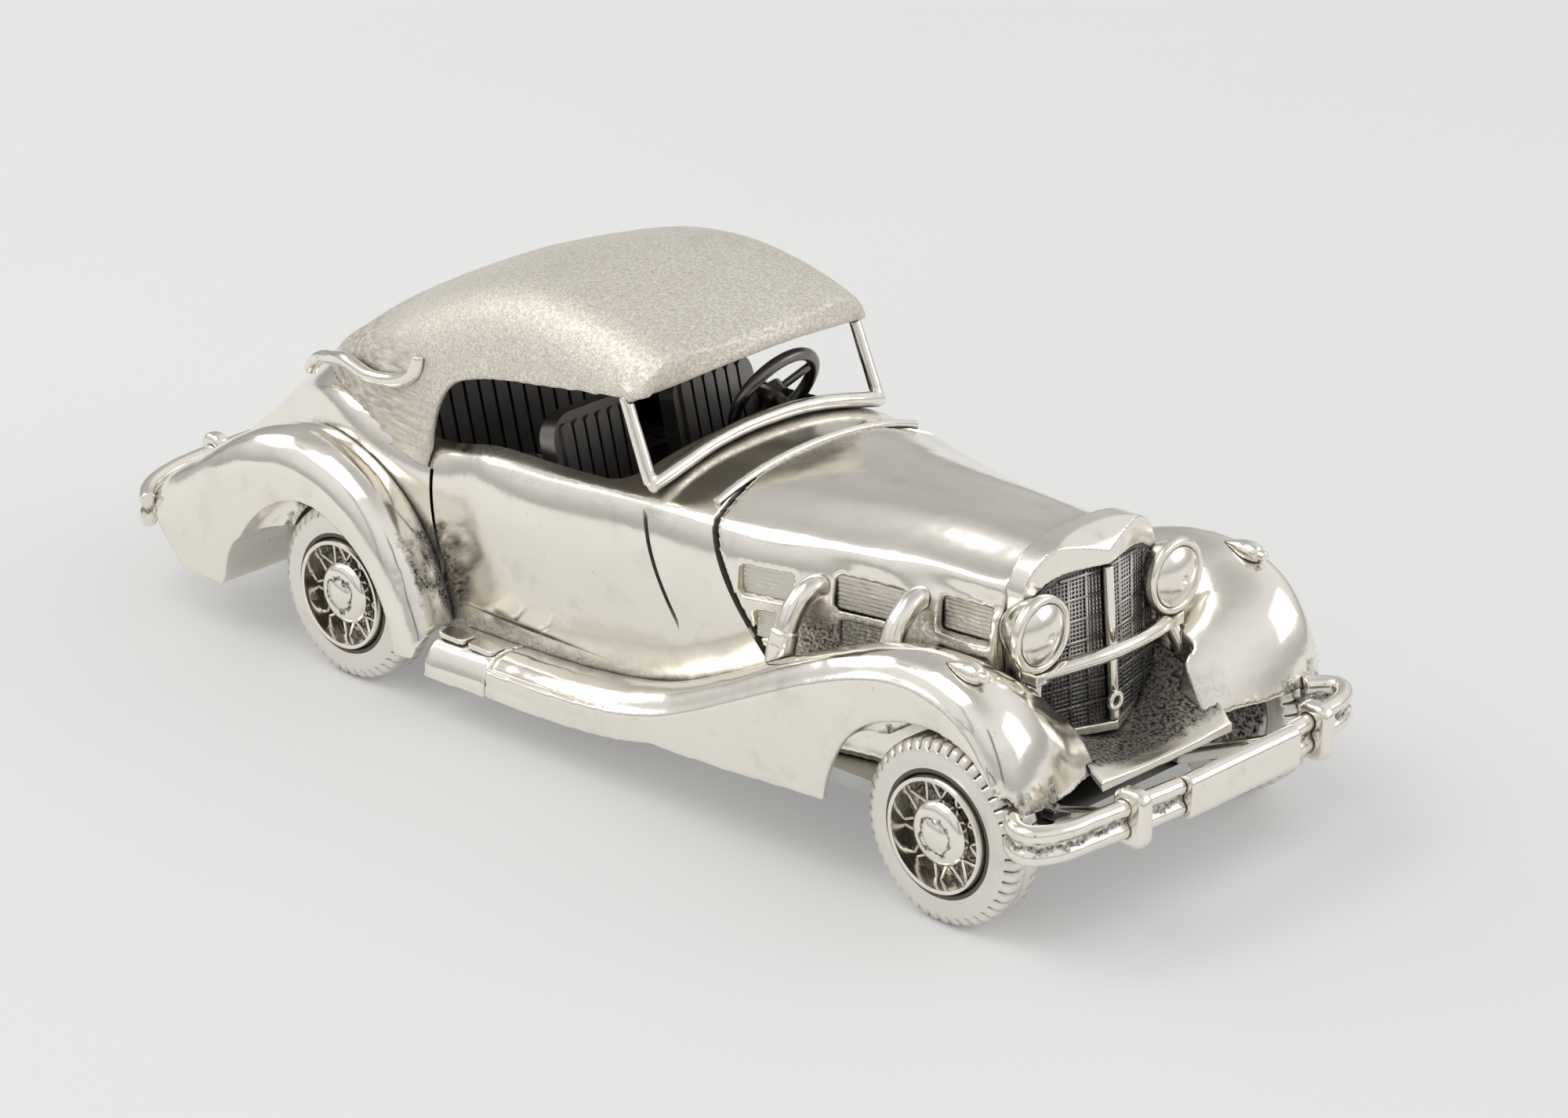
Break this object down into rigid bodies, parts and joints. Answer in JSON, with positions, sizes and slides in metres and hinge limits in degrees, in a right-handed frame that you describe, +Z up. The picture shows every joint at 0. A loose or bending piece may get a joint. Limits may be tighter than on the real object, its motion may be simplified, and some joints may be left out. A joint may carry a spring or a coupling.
{
  "type": "collector model car",
  "caption": "Small cast-metal collector model of a 1930s two-door cabriolet with its soft top raised, on two free-rolling wheel sets.",
  "frame": {"origin": "on the ground under the middle of the car, midway between its ends and its sides", "axes": "+X towards the nose, +Y to the car's left, +Z up; the tyres stand on Z = 0"},
  "size_m": [0.1275, 0.0466, 0.0429],
  "materials": {
    "cast_silver": "polished cast silver-like metal, darkened in the recesses",
    "grained_silver": "satin, finely grained like cloth",
    "dark_mesh": "blackened mesh with bright high spots",
    "base_metal": "plain as-cast metal",
    "screw_steel": "bright steel",
    "dark_interior": "oxidised metal, polished on the high spots",
    "tyre_metal": "cast metal with a satin tread and polished side walls"
  },
  "bodies": {
    "car": {"body_shell": "cast_silver", "bonnet": "cast_silver", "bonnet_louvres": "cast_silver", "radiator_shell": "cast_silver", "grille_centre_bar": "cast_silver", "crank_ring": "cast_silver", "front_fender_right": "cast_silver", "front_fender_left": "cast_silver", "running_board_right": "cast_silver", "running_board_left": "cast_silver", "step_strips": "cast_silver", "rear_fender_right": "cast_silver", "rear_fender_left": "cast_silver", "front_apron": "cast_silver", "landau_bar_right": "cast_silver", "landau_bar_left": "cast_silver", "windscreen_frame": "cast_silver", "headlamp_right": "cast_silver", "headlamp_left": "cast_silver", "headlamp_lens_right": "cast_silver", "headlamp_lens_left": "cast_silver", "headlamp_bar": "cast_silver", "headlamp_stays": "cast_silver", "marker_lamps": "cast_silver", "exhaust_pipes": "cast_silver", "front_bumper": "cast_silver", "front_bumper_plate": "cast_silver", "front_overriders": "cast_silver", "front_bumper_irons": "cast_silver", "rear_bumper": "cast_silver", "rear_overriders": "cast_silver", "rear_bumper_irons": "cast_silver", "steering_wheel": "cast_silver", "soft_top": "grained_silver", "radiator_grille": "dark_mesh", "base_plate": "base_metal", "base_screws": "screw_steel", "interior_floor": "dark_interior", "dashboard": "dark_interior", "steering_column": "dark_interior", "front_seat_right": "dark_interior", "front_seat_left": "dark_interior", "rear_bench": "dark_interior"},
    "front_wheelset": {"front_axle": "screw_steel", "front_spokes": "cast_silver", "tyre_front_right": "tyre_metal", "tyre_front_left": "tyre_metal", "rim_front_right": "cast_silver", "rim_front_left": "cast_silver", "hubcap_front_right": "cast_silver", "hubcap_front_left": "cast_silver"},
    "rear_wheelset": {"rear_axle": "screw_steel", "rear_spokes": "cast_silver", "tyre_rear_right": "tyre_metal", "tyre_rear_left": "tyre_metal", "rim_rear_right": "cast_silver", "rim_rear_left": "cast_silver", "hubcap_rear_right": "cast_silver", "hubcap_rear_left": "cast_silver"}
  },
  "joints": [
    {"name": "front_wheels_spin", "type": "hinge", "parent": "car", "child": "front_wheelset", "pos_m": [0.04725, 0, 0.0087], "axis": [0, 1, 0], "continuous": true},
    {"name": "rear_wheels_spin", "type": "hinge", "parent": "car", "child": "rear_wheelset", "pos_m": [-0.02925, 0, 0.0087], "axis": [0, 1, 0], "continuous": true}
  ]
}
